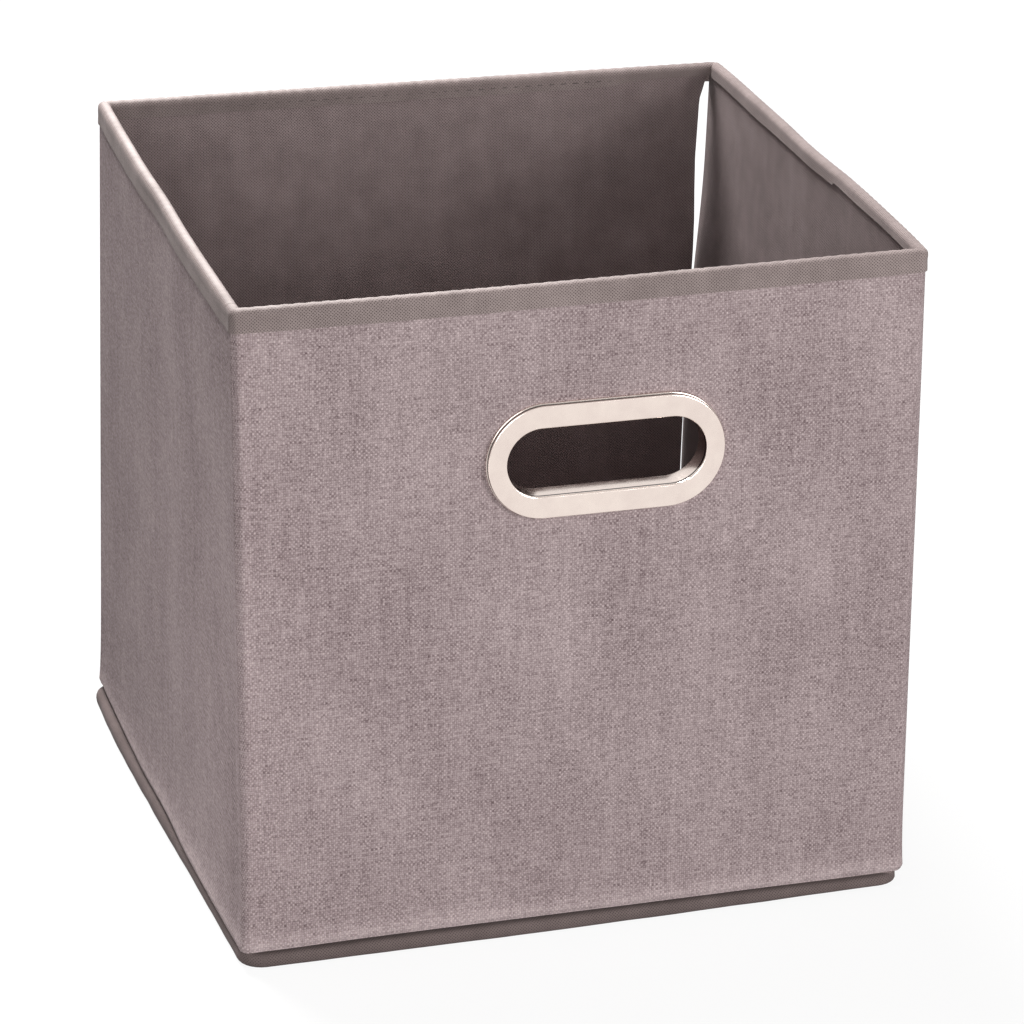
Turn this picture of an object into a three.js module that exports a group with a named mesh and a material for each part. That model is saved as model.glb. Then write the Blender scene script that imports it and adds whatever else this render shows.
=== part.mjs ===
// Folding fabric storage bin for a cube shelf, in millimetres, +Z up.
// The origin is the middle of the base, on the surface that the bin stands on.
// The front, with the metal hand slot, faces -Y.
import * as THREE from "three";

// Overall size, over the rim tape and the base seam
const WIDTH = 310;
const DEPTH = 310;
const HEIGHT = 310;

// Layers of a wall, from the outside in
const CLOTH_THICKNESS = 0.8;
const BOARD_THICKNESS = 2.0;
const LINING_THICKNESS = 0.5;
const LAYER_GAP = 0.3;

// Tape folded over the top edge of the walls
const TAPE_THICKNESS = 0.6;
const TAPE_DROP_OUTSIDE = 10.5;
const TAPE_DROP_INSIDE = 8;

// Fabric hinges: cloth and lining strips at the sewn corners and the side creases
const HINGE_GAP = 0.15;
const CORNER_LEG = 9;
const CREASE_HALF_WIDTH = 6;
const BOARD_SETBACK = 0.5;

// Open slit between the back wall and the right wall
const SLIT_WIDTH = 3;

// Bound seam round the base, base cloth and loose insert
const SEAM_HEIGHT = 8;
const SEAM_DEPTH = 6;
const SEAM_TO_WALL = 0.4;
const BASE_CLOTH_THICKNESS = 0.8;
const INSERT_BOARD_THICKNESS = 2.4;
const INSERT_COVER_THICKNESS = 0.6;
const INSERT_CLEARANCE = 1.2;

// Metal eyelet of the hand slot: flange, neck through the wall, and curl over a washer
const SLOT_OFFSET = 10.5;
const SLOT_BELOW_RIM = 80.5;
const RING_LENGTH = 106;
const RING_HEIGHT = 51.4;
const OPENING_LENGTH = 90.4;
const OPENING_HEIGHT = 31.6;
const RING_PROUD = 3;
const RING_EDGE_RADIUS = 1.6;
const OPENING_EDGE_RADIUS = 0.7;
const NECK_THICKNESS = 1.0;
const CURL_WIDTH = 2.6;
const CURL_THICKNESS = 1.3;
const WASHER_WIDTH = 6.5;
const WASHER_THICKNESS = 1.2;
const EDGE_STEPS = 4;
const END_STEPS = 20;

// Depth of each layer below the outer face of the rim tape
const clothFace = TAPE_THICKNESS + LAYER_GAP;
const clothBack = clothFace + CLOTH_THICKNESS;
const boardFace = clothBack + LAYER_GAP;
const boardBack = boardFace + BOARD_THICKNESS;
const liningBack = boardBack + LAYER_GAP;
const liningFace = liningBack + LINING_THICKNESS;
const tapeInnerBack = liningFace + LAYER_GAP;
const wallEnvelope = tapeInnerBack + TAPE_THICKNESS;

// Heights
const wallBottom = SEAM_HEIGHT + SEAM_TO_WALL;
const wallTop = HEIGHT - TAPE_THICKNESS - LAYER_GAP;
const hingeStripTop = HEIGHT - TAPE_DROP_OUTSIDE - LAYER_GAP;
const slotHeight = HEIGHT - SLOT_BELOW_RIM;

const colours = {
  cloth: new THREE.MeshStandardMaterial({ color: 0x9c8e8f, roughness: 0.92, metalness: 0 }),
  lining: new THREE.MeshStandardMaterial({ color: 0x6a5e60, roughness: 0.95, metalness: 0 }),
  tape: new THREE.MeshStandardMaterial({ color: 0x857878, roughness: 0.9, metalness: 0 }),
  board: new THREE.MeshStandardMaterial({ color: 0xa98c68, roughness: 0.95, metalness: 0 }),
  nickel: new THREE.MeshStandardMaterial({ color: 0xe6dad2, roughness: 0.2, metalness: 1 }),
};

const bin = new THREE.Group();

function addMesh(group, name, geometry, material) {
  const mesh = new THREE.Mesh(geometry, material);
  mesh.name = name;
  group.add(mesh);
  return mesh;
}

// A group whose X runs along a wall, Y points into the bin and Z points up
function wallFrame(quarterTurns, x, y) {
  const frame = new THREE.Group();
  frame.rotation.z = (quarterTurns * Math.PI) / 2;
  frame.position.set(x, y, 0);
  bin.add(frame);
  return frame;
}

function addBox(group, name, low, high, material) {
  const size = high.map((value, axis) => value - low[axis]);
  const mesh = addMesh(group, name, new THREE.BoxGeometry(...size), material);
  mesh.position.set(...low.map((value, axis) => value + size[axis] / 2));
  return mesh;
}

// A closed outline with semicircular ends, centred on the hand slot
function stadiumPoints(straightHalf, radius) {
  const points = [];
  for (const side of [1, -1]) {
    for (let step = 0; step <= END_STEPS; step += 1) {
      const angle = side * (Math.PI / 2) - (Math.PI * step) / END_STEPS;
      const x = SLOT_OFFSET + side * straightHalf + radius * Math.cos(angle);
      points.push(new THREE.Vector2(x, slotHeight + radius * Math.sin(angle)));
    }
  }
  return points;
}

// Straight half-length of an outline whose radius lies between the opening and the rim of the ring
function straightHalfAt(radius) {
  const inner = (OPENING_LENGTH - OPENING_HEIGHT) / 2;
  const outer = (RING_LENGTH - RING_HEIGHT) / 2;
  const share = (radius - OPENING_HEIGHT / 2) / (RING_HEIGHT / 2 - OPENING_HEIGHT / 2);
  return inner + (outer - inner) * share;
}

// A flat layer of a wall, with the hole for the eyelet's neck where asked
function addLayer(frame, name, along, depth, heights, material, holeRadius = 0) {
  if (holeRadius === 0) {
    return addBox(frame, name, [along[0], depth[0], heights[0]], [along[1], depth[1], heights[1]], material);
  }
  const outline = new THREE.Shape([
    new THREE.Vector2(along[0], heights[0]),
    new THREE.Vector2(along[1], heights[0]),
    new THREE.Vector2(along[1], heights[1]),
    new THREE.Vector2(along[0], heights[1]),
  ]);
  outline.holes.push(new THREE.Path(stadiumPoints(straightHalfAt(holeRadius), holeRadius)));
  const settings = { depth: depth[1] - depth[0], bevelEnabled: false };
  const mesh = addMesh(frame, name, new THREE.ExtrudeGeometry(outline, settings), material);
  mesh.rotation.x = Math.PI / 2;
  mesh.position.y = depth[1];
  return mesh;
}

// The tape over the top edge: an upside-down U that runs along the wall
function addRimTape(frame, name, along) {
  const outerLegFoot = HEIGHT - TAPE_DROP_OUTSIDE;
  const innerLegFoot = HEIGHT - TAPE_DROP_INSIDE;
  const underTop = HEIGHT - TAPE_THICKNESS;
  const profile = new THREE.Shape([
    new THREE.Vector2(0, outerLegFoot),
    new THREE.Vector2(TAPE_THICKNESS, outerLegFoot),
    new THREE.Vector2(TAPE_THICKNESS, underTop),
    new THREE.Vector2(tapeInnerBack, underTop),
    new THREE.Vector2(tapeInnerBack, innerLegFoot),
    new THREE.Vector2(wallEnvelope, innerLegFoot),
    new THREE.Vector2(wallEnvelope, HEIGHT),
    new THREE.Vector2(0, HEIGHT),
  ]);
  const settings = { depth: along[1] - along[0], bevelEnabled: false };
  const mesh = addMesh(frame, name, new THREE.ExtrudeGeometry(profile, settings), colours.tape);
  mesh.rotation.set(Math.PI / 2, 0, Math.PI / 2, "ZXY");
  mesh.position.x = along[0];
  return mesh;
}

// How far each layer stops short of the end of the wall's frame, for each kind of end
const endInsets = {
  // front and back walls lap over the ends of the side walls
  lapped: { cloth: clothFace + CORNER_LEG + LAYER_GAP, board: boardFace, tape: 0,
    lining: liningBack + CORNER_LEG + LAYER_GAP },
  butted: { cloth: clothFace + CORNER_LEG + LAYER_GAP, board: wallEnvelope + LAYER_GAP,
    tape: wallEnvelope + HINGE_GAP, lining: liningBack + CORNER_LEG + LAYER_GAP },
  // the two ends of the cloth meet unsewn at the rear right corner
  slit: { cloth: wallEnvelope + SLIT_WIDTH, board: wallEnvelope + SLIT_WIDTH + BOARD_SETBACK, tape: 0,
    lining: wallEnvelope + SLIT_WIDTH },
  slitButted: { cloth: wallEnvelope + LAYER_GAP, board: wallEnvelope + LAYER_GAP + BOARD_SETBACK,
    tape: wallEnvelope + HINGE_GAP, lining: wallEnvelope + LAYER_GAP },
};

// The same at the vertical crease in the middle of a side wall, measured from the crease
const creaseInsets = {
  cloth: CREASE_HALF_WIDTH + LAYER_GAP,
  board: BOARD_SETBACK,
  tape: HINGE_GAP,
  lining: CREASE_HALF_WIDTH + LAYER_GAP,
};

function addPanel(frame, name, start, end, holeRadius = 0) {
  const along = (layer) => [start.at + start.insets[layer], end.at - end.insets[layer]];
  const heights = [wallBottom, wallTop];
  addLayer(frame, `${name}_outer_cloth`, along("cloth"), [clothFace, clothBack], heights,
    colours.cloth, holeRadius);
  addLayer(frame, `${name}_board`, along("board"), [boardFace, boardBack], heights,
    colours.board, holeRadius);
  addLayer(frame, `${name}_lining`, along("lining"), [liningBack, liningFace], heights,
    colours.lining, holeRadius);
  addRimTape(frame, `${name}_rim_tape`, along("tape"));
}

// L-shaped strip of cloth or lining round a sewn corner, from a group at the corner of the envelope
function addCornerStrip(frame, name, near, far, material) {
  const tip = near + CORNER_LEG;
  const outline = new THREE.Shape([
    new THREE.Vector2(near, near),
    new THREE.Vector2(tip, near),
    new THREE.Vector2(tip, far),
    new THREE.Vector2(far, far),
    new THREE.Vector2(far, tip),
    new THREE.Vector2(near, tip),
  ]);
  const settings = { depth: hingeStripTop - wallBottom, bevelEnabled: false };
  const mesh = addMesh(frame, name, new THREE.ExtrudeGeometry(outline, settings), material);
  mesh.position.z = wallBottom;
}

function addCreaseStrips(frame, side) {
  const along = [-CREASE_HALF_WIDTH, CREASE_HALF_WIDTH];
  const heights = [wallBottom, hingeStripTop];
  addLayer(frame, `${side}_crease_cloth`, along, [clothFace, clothBack], heights, colours.cloth);
  addLayer(frame, `${side}_crease_lining`, along, [liningBack, liningFace], heights, colours.lining);
}

// A solid swept round the hand slot. Each profile point is [radius, depth below the tape's face].
function sweptRing(profile) {
  const rows = profile.map(([radius, depth]) =>
    stadiumPoints(straightHalfAt(radius), radius).map((point) => [point.x, depth, point.y]),
  );
  const around = rows[0].length;
  const positions = rows.flat(2);
  const indices = [];
  for (let row = 0; row < rows.length; row += 1) {
    const nextRow = (row + 1) % rows.length;
    for (let step = 0; step < around; step += 1) {
      const nextStep = (step + 1) % around;
      const a = row * around + step;
      const b = row * around + nextStep;
      const c = nextRow * around + nextStep;
      const d = nextRow * around + step;
      indices.push(a, b, c, a, c, d);
    }
  }
  const geometry = new THREE.BufferGeometry();
  geometry.setAttribute("position", new THREE.Float32BufferAttribute(positions, 3));
  geometry.setIndex(indices);
  return geometry;
}

// Quarter-round from one profile point to the next, bulging towards the corner between them
function roundedEdge(centreRadius, centreDepth, size, startAngle) {
  const points = [];
  for (let step = 0; step <= EDGE_STEPS; step += 1) {
    const angle = startAngle + (Math.PI / 2) * (step / EDGE_STEPS);
    points.push([centreRadius + size * Math.cos(angle), centreDepth + size * Math.sin(angle)]);
  }
  return points;
}

const openingRadius = OPENING_HEIGHT / 2;
const neckRadius = openingRadius + NECK_THICKNESS;
const wallHoleRadius = neckRadius + LAYER_GAP;
const flangeFace = clothFace - RING_PROUD;
const flangeBack = clothFace - LAYER_GAP;
const washerFace = liningFace + LAYER_GAP;
const curlFace = washerFace + WASHER_THICKNESS + LAYER_GAP;
const eyeletEnd = curlFace + CURL_THICKNESS;

function addEyelet(frame) {
  const rimRadius = RING_HEIGHT / 2;
  const outerEdge = roundedEdge(
    rimRadius - RING_EDGE_RADIUS, flangeFace + RING_EDGE_RADIUS, RING_EDGE_RADIUS, -Math.PI / 2);
  const openingEdge = roundedEdge(
    openingRadius + OPENING_EDGE_RADIUS, flangeFace + OPENING_EDGE_RADIUS, OPENING_EDGE_RADIUS, Math.PI);
  const ring = [
    ...openingEdge,
    ...outerEdge,
    [rimRadius, flangeBack],
    [neckRadius, flangeBack],
    [neckRadius, curlFace],
    [neckRadius + CURL_WIDTH, curlFace],
    [neckRadius + CURL_WIDTH, eyeletEnd],
    [openingRadius, eyeletEnd],
  ];
  addMesh(frame, "handle_eyelet", sweptRing(ring), colours.nickel);
  const washer = [
    [wallHoleRadius, washerFace],
    [wallHoleRadius + WASHER_WIDTH, washerFace],
    [wallHoleRadius + WASHER_WIDTH, washerFace + WASHER_THICKNESS],
    [wallHoleRadius, washerFace + WASHER_THICKNESS],
  ];
  addMesh(frame, "handle_washer", sweptRing(washer), colours.nickel);
}

// Bound seam under the walls: front and back bars lap over the side bars
function addSeams(frames) {
  const spans = { front: WIDTH / 2, back: WIDTH / 2 };
  spans.left = DEPTH / 2 - SEAM_DEPTH - LAYER_GAP;
  spans.right = spans.left;
  for (const [side, half] of Object.entries(spans)) {
    addBox(frames[side], `base_seam_${side}`, [-half, 0, 0], [half, SEAM_DEPTH, SEAM_HEIGHT], colours.tape);
  }
}

function addBaseCloth() {
  const halfWidth = WIDTH / 2 - SEAM_DEPTH - LAYER_GAP;
  const halfDepth = DEPTH / 2 - SEAM_DEPTH - LAYER_GAP;
  addBox(bin, "base_cloth", [-halfWidth, -halfDepth, 0], [halfWidth, halfDepth, BASE_CLOTH_THICKNESS],
    colours.lining);
}

// Stiff board in a cloth sleeve, lying loose on the base cloth and clear of the eyelet as it lifts out
function addInsert() {
  const inset = Math.max(SEAM_DEPTH, eyeletEnd) + INSERT_CLEARANCE;
  const halfWidth = WIDTH / 2 - inset;
  const halfDepth = DEPTH / 2 - inset;
  const bottom = BASE_CLOTH_THICKNESS + LAYER_GAP;
  const boardBottom = bottom + INSERT_COVER_THICKNESS + LAYER_GAP;
  const boardTop = boardBottom + INSERT_BOARD_THICKNESS;
  const top = boardTop + LAYER_GAP + INSERT_COVER_THICKNESS;
  const boardHalfWidth = halfWidth - INSERT_COVER_THICKNESS - LAYER_GAP;
  addBox(bin, "insert_board", [-boardHalfWidth, -halfDepth + BOARD_SETBACK, boardBottom],
    [boardHalfWidth, halfDepth - BOARD_SETBACK, boardTop], colours.board);

  const rectangle = (half, low, high) => [
    new THREE.Vector2(-half, low),
    new THREE.Vector2(half, low),
    new THREE.Vector2(half, high),
    new THREE.Vector2(-half, high),
  ];
  const sleeve = new THREE.Shape(rectangle(halfWidth, bottom, top));
  const hollowHalf = halfWidth - INSERT_COVER_THICKNESS;
  sleeve.holes.push(new THREE.Path(
    rectangle(hollowHalf, bottom + INSERT_COVER_THICKNESS, top - INSERT_COVER_THICKNESS)));
  const settings = { depth: 2 * halfDepth, bevelEnabled: false };
  const cover = addMesh(bin, "insert_cover", new THREE.ExtrudeGeometry(sleeve, settings), colours.lining);
  cover.rotation.x = Math.PI / 2;
  cover.position.y = halfDepth;
}

const frames = {
  front: wallFrame(0, 0, -DEPTH / 2),
  right: wallFrame(1, WIDTH / 2, 0),
  back: wallFrame(2, 0, DEPTH / 2),
  left: wallFrame(3, -WIDTH / 2, 0),
};

const wallEnd = (at, kind) => ({ at, insets: endInsets[kind] });
const crease = { at: 0, insets: creaseInsets };

addPanel(frames.front, "front", wallEnd(-WIDTH / 2, "lapped"), wallEnd(WIDTH / 2, "lapped"), wallHoleRadius);
addPanel(frames.right, "right_front", wallEnd(-DEPTH / 2, "butted"), crease);
addPanel(frames.right, "right_rear", crease, wallEnd(DEPTH / 2, "slitButted"));
addPanel(frames.back, "back", wallEnd(-WIDTH / 2, "slit"), wallEnd(WIDTH / 2, "lapped"));
addPanel(frames.left, "left_rear", wallEnd(-DEPTH / 2, "butted"), crease);
addPanel(frames.left, "left_front", crease, wallEnd(DEPTH / 2, "butted"));
addCreaseStrips(frames.left, "left");
addCreaseStrips(frames.right, "right");

const sewnCorners = {
  front_left: wallFrame(0, -WIDTH / 2, -DEPTH / 2),
  front_right: wallFrame(1, WIDTH / 2, -DEPTH / 2),
  back_left: wallFrame(3, -WIDTH / 2, DEPTH / 2),
};
for (const [corner, frame] of Object.entries(sewnCorners)) {
  addCornerStrip(frame, `${corner}_corner_cloth`, clothFace, clothBack, colours.cloth);
  addCornerStrip(frame, `${corner}_corner_lining`, liningBack, liningFace, colours.lining);
}

addEyelet(frames.front);
addSeams(frames);
addBaseCloth();
addInsert();

export default bin;
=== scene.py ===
# Looks of the folding fabric storage bin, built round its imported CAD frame. Metres, +Z up, front towards -Y.
import math

import bpy
import numpy as np
from mathutils import Matrix, Vector


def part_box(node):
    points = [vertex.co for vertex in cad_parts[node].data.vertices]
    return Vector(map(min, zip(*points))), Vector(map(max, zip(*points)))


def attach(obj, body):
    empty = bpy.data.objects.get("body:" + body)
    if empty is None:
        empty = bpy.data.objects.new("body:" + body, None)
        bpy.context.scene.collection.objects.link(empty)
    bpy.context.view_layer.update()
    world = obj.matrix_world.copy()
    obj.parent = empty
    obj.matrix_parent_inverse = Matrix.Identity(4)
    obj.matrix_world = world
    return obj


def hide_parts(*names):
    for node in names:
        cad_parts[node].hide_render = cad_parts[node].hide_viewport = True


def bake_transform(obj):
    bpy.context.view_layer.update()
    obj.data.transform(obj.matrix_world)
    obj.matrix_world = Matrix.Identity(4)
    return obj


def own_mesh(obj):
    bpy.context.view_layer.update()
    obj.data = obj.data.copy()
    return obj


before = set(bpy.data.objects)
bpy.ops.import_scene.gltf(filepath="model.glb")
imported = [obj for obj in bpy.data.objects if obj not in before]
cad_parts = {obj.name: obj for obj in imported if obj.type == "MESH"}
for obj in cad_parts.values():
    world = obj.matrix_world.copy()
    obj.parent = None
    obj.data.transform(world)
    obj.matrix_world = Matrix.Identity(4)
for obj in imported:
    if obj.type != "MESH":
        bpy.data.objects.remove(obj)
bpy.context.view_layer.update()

# ---------------------------------------------------------------- sizes, from the frame
MM = 0.001
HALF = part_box("front_rim_tape")[1].x
SIDE = 2 * HALF
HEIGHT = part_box("front_rim_tape")[1].z
WALL_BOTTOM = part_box("front_board")[0].z
WALL_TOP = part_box("front_board")[1].z
TAPE_FOOT_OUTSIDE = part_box("front_rim_tape")[0].z
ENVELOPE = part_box("front_rim_tape")[1].y + HALF  # the whole thickness of a wall with its tape
CLOTH_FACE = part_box("front_outer_cloth")[0].y + HALF
CLOTH_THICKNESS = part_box("front_outer_cloth")[1].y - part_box("front_outer_cloth")[0].y
BOARD_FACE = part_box("front_board")[0].y + HALF
BOARD_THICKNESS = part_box("front_board")[1].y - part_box("front_board")[0].y
LINING_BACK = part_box("front_lining")[0].y + HALF
LINING_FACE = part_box("front_lining")[1].y + HALF
SLIT_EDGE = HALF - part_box("back_outer_cloth")[1].x
CREASE_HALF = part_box("left_crease_cloth")[1].y + 0.3 * MM
CORNER_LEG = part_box("front_left_corner_cloth")[1].x + HALF + 0.3 * MM

RING_LOW, RING_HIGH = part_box("handle_eyelet")
RING_CENTRE = (RING_LOW + RING_HIGH) / 2 + Vector((-1.1 * MM, 0, -0.2 * MM))
RING_HALF_LENGTH = (RING_HIGH.x - RING_LOW.x) / 2 + 0.5 * MM
RING_HALF_HEIGHT = (RING_HIGH.z - RING_LOW.z) / 2
OPENING_HALF_LENGTH = 45.2 * MM
OPENING_HALF_HEIGHT = 15.8 * MM
NECK_THICKNESS = 1.0 * MM
HOLE_RADIUS = OPENING_HALF_HEIGHT + NECK_THICKNESS + 0.3 * MM

TAPE_THICKNESS = 0.6 * MM
STITCH_PITCH = 6.0 * MM
STITCH_BELOW_RIM = 5.4 * MM
WALL_STEP = 4 * MM
SLOT_STEP = 2.6 * MM
BOARD_ABOVE_CLOTH = 3 * MM
UV_NAME = "cloth_uv"


# ---------------------------------------------------------------- the shape of the walls
def smooth(value, low, high):
    """0 below low, 1 above high, and an easy curve between."""
    t = np.clip((value - low) / (high - low), 0, 1)
    return t * t * (3 - 2 * t)


def bell(value, centre, width):
    return np.exp(-(((value - centre) / width) ** 2))


def ripple(u, z, wavelength, seed):
    """Soft unevenness from 0 to 1, the same on each run."""
    draw = np.random.default_rng(seed)
    total = np.zeros(np.broadcast(u, z).shape)
    waves = 7
    for _ in range(waves):
        heading, phase = draw.uniform(0, 2 * math.pi, 2)
        length = wavelength * draw.uniform(0.7, 1.8)
        distance = u * math.cos(heading) + z * math.sin(heading)
        total = total + np.sin(distance * 2 * math.pi / length + phase)
    return 0.5 + 0.5 * total / waves


def wall_of(u):
    """Which wall u is on (0 front, 1 right, 2 back, 3 left), and where along it from its middle."""
    wall = np.floor(u / SIDE)
    return wall.astype(int) % 4, u - SIDE * wall - HALF


def bow(u, z):
    """How far a wall as a whole stands out from its flat plane: a belly, and a skirt that spreads below."""
    wall, t = wall_of(u)
    across = 1 - (t / HALF) ** 2
    up = z / HEIGHT
    flare = 2.6 * smooth(t, 20 * MM, 150 * MM) * smooth(z, 170 * MM, 262 * MM)
    swell = bell(t, -HALF + 16 * MM, 9 * MM) * (1 - smooth(up, 0.8, 0.95))
    skirt = np.exp(-np.maximum(z - WALL_BOTTOM, 0) / (11 * MM))
    soft = 0.55 + 0.45 * smooth(np.abs(t), 0, 50 * MM)
    at_start, at_end = bell(t, -HALF, 40 * MM), bell(t, HALF, 40 * MM)
    belly = {
        0: across * (1.5 * up + 0.3) * (1 - 0.5 * t / HALF),
        1: across * soft * (0.8 + 1.9 * up) * (1 - 0.35 * t / HALF) + flare + 1.2 * swell,
        2: across * 0.4,
        3: across * soft * (0.4 + 1.0 * up),
    }
    skirt_size = {
        0: 1.0 + 1.4 * at_start,
        1: at_start,
        2: at_end,
        3: 1.0 + 1.4 * smooth(t, -HALF, 0) + 0.9 * across * soft,
    }
    return sum(np.where(wall == k, belly[k] + skirt_size[k] * skirt, 0.0) for k in belly) * MM


def cloth_relief(u, z):
    """How far the outer cloth stands off its board: slack, ridges at corners and a rolled lower edge."""
    _, t = wall_of(u)
    to_corner = HALF - np.abs(t)
    slack = 0.55 * ripple(u, z, 110 * MM, 3) + 0.18 * ripple(u, z, 38 * MM, 4)
    from_handle = np.hypot((u - HALF - RING_CENTRE.x) / 2, z - RING_CENTRE.z)
    slack = slack * smooth(from_handle, 26 * MM, 50 * MM)
    ridge = 0.3 * bell(to_corner, 4 * MM, 2.4 * MM)
    hem = -0.9 * (1 - smooth(z, WALL_BOTTOM, WALL_BOTTOM + 2.2 * MM))
    return (slack * smooth(to_corner, 0, 25 * MM) * at_crease(u) + ridge + hem) * MM


def at_crease(u):
    """0 on a side wall's centre crease and 1 away from it, so that the two halves can fold together."""
    wall, t = wall_of(u)
    return np.where(wall % 2 == 1, smooth(np.abs(t), 5 * MM, 45 * MM), 1.0)


def lining_relief(u, z):
    """How far the lining stands off its board, with pulled folds from the rear right corner."""
    wall, t = wall_of(u)
    slack = 0.5 * ripple(u, z, 90 * MM, 11) + 0.25 * ripple(u, z, 35 * MM, 12)
    from_corner = np.hypot(t + HALF, HEIGHT - z) + 1e-6
    heading = np.arctan2(HEIGHT - z, t + HALF)
    folds = np.sin(heading * 17 + 0.7 * np.sin(heading * 5)) * bell(heading, 0.75, 0.45)
    pulled = 2.2 * folds * smooth(from_corner, 15 * MM, 90 * MM) * bell(from_corner, 120 * MM, 160 * MM)
    pulled = np.where(wall == 2, pulled, 0)
    knot = np.where(wall == 2, 0.9 * bell(t, -32 * MM, 3 * MM) * bell(z, HEIGHT - 18 * MM, 16 * MM), 0)
    to_corner = HALF - np.abs(t)
    loose = (slack + np.maximum(pulled, -0.3)) * smooth(to_corner, 4 * MM, 80 * MM) * at_crease(u)
    return (0.1 + loose + knot) * MM


def outline(u, inset, radius):
    """Plan position at u round the walls, inset from the outside. Only the slit's corner is square."""
    wall, t = wall_of(u)
    reach = HALF - inset - radius
    angle = np.clip((np.abs(t) - reach) / (HALF - reach), 0, 1) * math.pi / 4
    side = np.sign(t)
    square = ((wall == 1) & (t > 0)) | ((wall == 2) & (t < 0))
    bent = (np.abs(t) > reach) & ~square
    x = np.where(bent, side * (reach + radius * np.sin(angle)), t)
    y = np.where(bent, -(reach + radius * np.cos(angle)), -(HALF - inset))
    turn = wall * math.pi / 2
    return x * np.cos(turn) - y * np.sin(turn), x * np.sin(turn) + y * np.cos(turn)


# how far each corner of the soft bin leans from upright, (x, y, z) in mm at the rim and at the base
CORNER_LEAN = {
    (-1, -1): ((-1.5, -1.0, 0.0), (0.0, -0.5, 0.0)),
    (-1, 1): ((3.2, 0.2, 1.4), (-4.4, 0.5, 0.0)),
    (1, -1): ((2.0, 1.1, 0.0), (2.2, 1.2, 0.0)),
    (1, 1): ((4.0, -1.4, -1.0), (0.0, 0.0, 0.0)),
}
SLIT_SAG = 4.6 * MM


def lean(points):
    """Leans points with the corners, which is how the soft bin stands."""
    x, y, z = points.T
    up = z / HEIGHT
    out = points.copy()
    for (side_x, side_y), (rim, base) in CORNER_LEAN.items():
        share = (1 + side_x * x / HALF) * (1 + side_y * y / HALF) / 4
        for axis in range(3):
            out[:, axis] += share * (base[axis] + (rim[axis] - base[axis]) * up) * MM
    near_slit = smooth(x, -HALF, HALF) ** 2 * smooth(y, -0.1 * HALF, HALF)
    out[:, 0] -= SLIT_SAG * near_slit * smooth(1 - up, -0.05, 0.7) * smooth(up, 0.02, 0.3)
    return out


def place(u, z, inset, radius):
    """Points of a wall surface in the row frame."""
    u, z, inset = np.broadcast_arrays(u, z, inset)
    x, y = outline(u, inset - bow(u, z), radius)
    return lean(np.stack([x.ravel(), y.ravel(), z.ravel()], 1))


# the eyelet stands proud of the bowed cloth, with a groove between its face and the bead on the cloth
HANDLE_BOW = float(bow(np.array([HALF + RING_CENTRE.x]), np.array([RING_CENTRE.z]))[0])
CLOTH_FRONT = -HALF + CLOTH_FACE - HANDLE_BOW
RING_FRONT = CLOTH_FRONT - 3.6 * MM
GROOVE_Y = RING_FRONT + 1.65 * MM


# ---------------------------------------------------------------- mesh making
def spaced(low, high, step):
    return np.linspace(low, high, max(2, int(round((high - low) / step)) + 1))


def along_wall(u0, u1):
    """Stations round the walls, closer together near a corner."""
    stations = []
    u = u0
    while u < u1 - 0.2 * MM:
        stations.append(u)
        _, t = wall_of(np.array([u]))
        to_corner = HALF - abs(t[0])
        u += min(WALL_STEP, 0.7 * MM + 0.35 * max(0, to_corner - 6 * MM))
    return np.array(stations + [u1])


def up_wall(z0, z1, step):
    """Heights up a wall, closer together at its rolled lower edge."""
    edge = z0 + 6 * MM
    return np.concatenate([spaced(z0, edge, 0.75 * MM)[:-1], spaced(edge, z1, step)])


def make_object(name, points, faces, uvs=None, materials=()):
    mesh = bpy.data.meshes.new(name)
    mesh.from_pydata([tuple(p) for p in points], [], [tuple(f) for f in faces])
    if uvs is not None:
        layer = mesh.uv_layers.new(name=UV_NAME)
        index = np.empty(len(mesh.loops), int)
        mesh.loops.foreach_get("vertex_index", index)
        layer.data.foreach_set("uv", np.asarray(uvs)[index].astype(np.float32).ravel())
    mesh.polygons.foreach_set("use_smooth", [True] * len(mesh.polygons))
    mesh.update()
    thing = bpy.data.objects.new(name, mesh)
    bpy.context.scene.collection.objects.link(thing)
    for material in materials:
        mesh.materials.append(material)
    return thing


def grid_faces(rows, columns):
    index = np.arange(rows * columns).reshape(rows, columns)
    quads = np.stack([index[:-1, :-1], index[:-1, 1:], index[1:, 1:], index[1:, :-1]], -1)
    return quads.reshape(-1, 4)


def shell(name, outer, inner, faces, uvs, material):
    """A closed thin sheet between two layers of points with the same faces, outwards on the outer layer."""
    used = np.unique(faces)
    renumber = np.full(len(outer), -1)
    renumber[used] = np.arange(len(used))
    faces, outer, inner, uvs = renumber[faces], outer[used], inner[used], uvs[used]
    count = len(outer)
    edges = {}
    for face in faces:
        for a, b in zip(face, np.roll(face, -1)):
            edges[(a, b)] = True
    border = [(a, b) for a, b in edges if (b, a) not in edges]
    sides = [(b, a, a + count, b + count) for a, b in border]
    every_face = [*faces, *(faces[:, ::-1] + count), *sides]
    thing = make_object(name, np.vstack([outer, inner]), every_face, np.vstack([uvs, uvs]), [material])
    crisp_borders(thing, border, count)
    return thing


def crisp_borders(thing, border, count):
    """Marks the sheet's cut edge sharp, so that its faces shade flat right up to it."""
    mesh = thing.data
    sharp = {frozenset(e) for e in border} | {frozenset((a + count, b + count)) for a, b in border}
    flags = [frozenset(e.vertices) in sharp for e in mesh.edges]
    attribute = mesh.attributes.new("sharp_edge", "BOOLEAN", "EDGE")
    attribute.data.foreach_set("value", flags)


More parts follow.
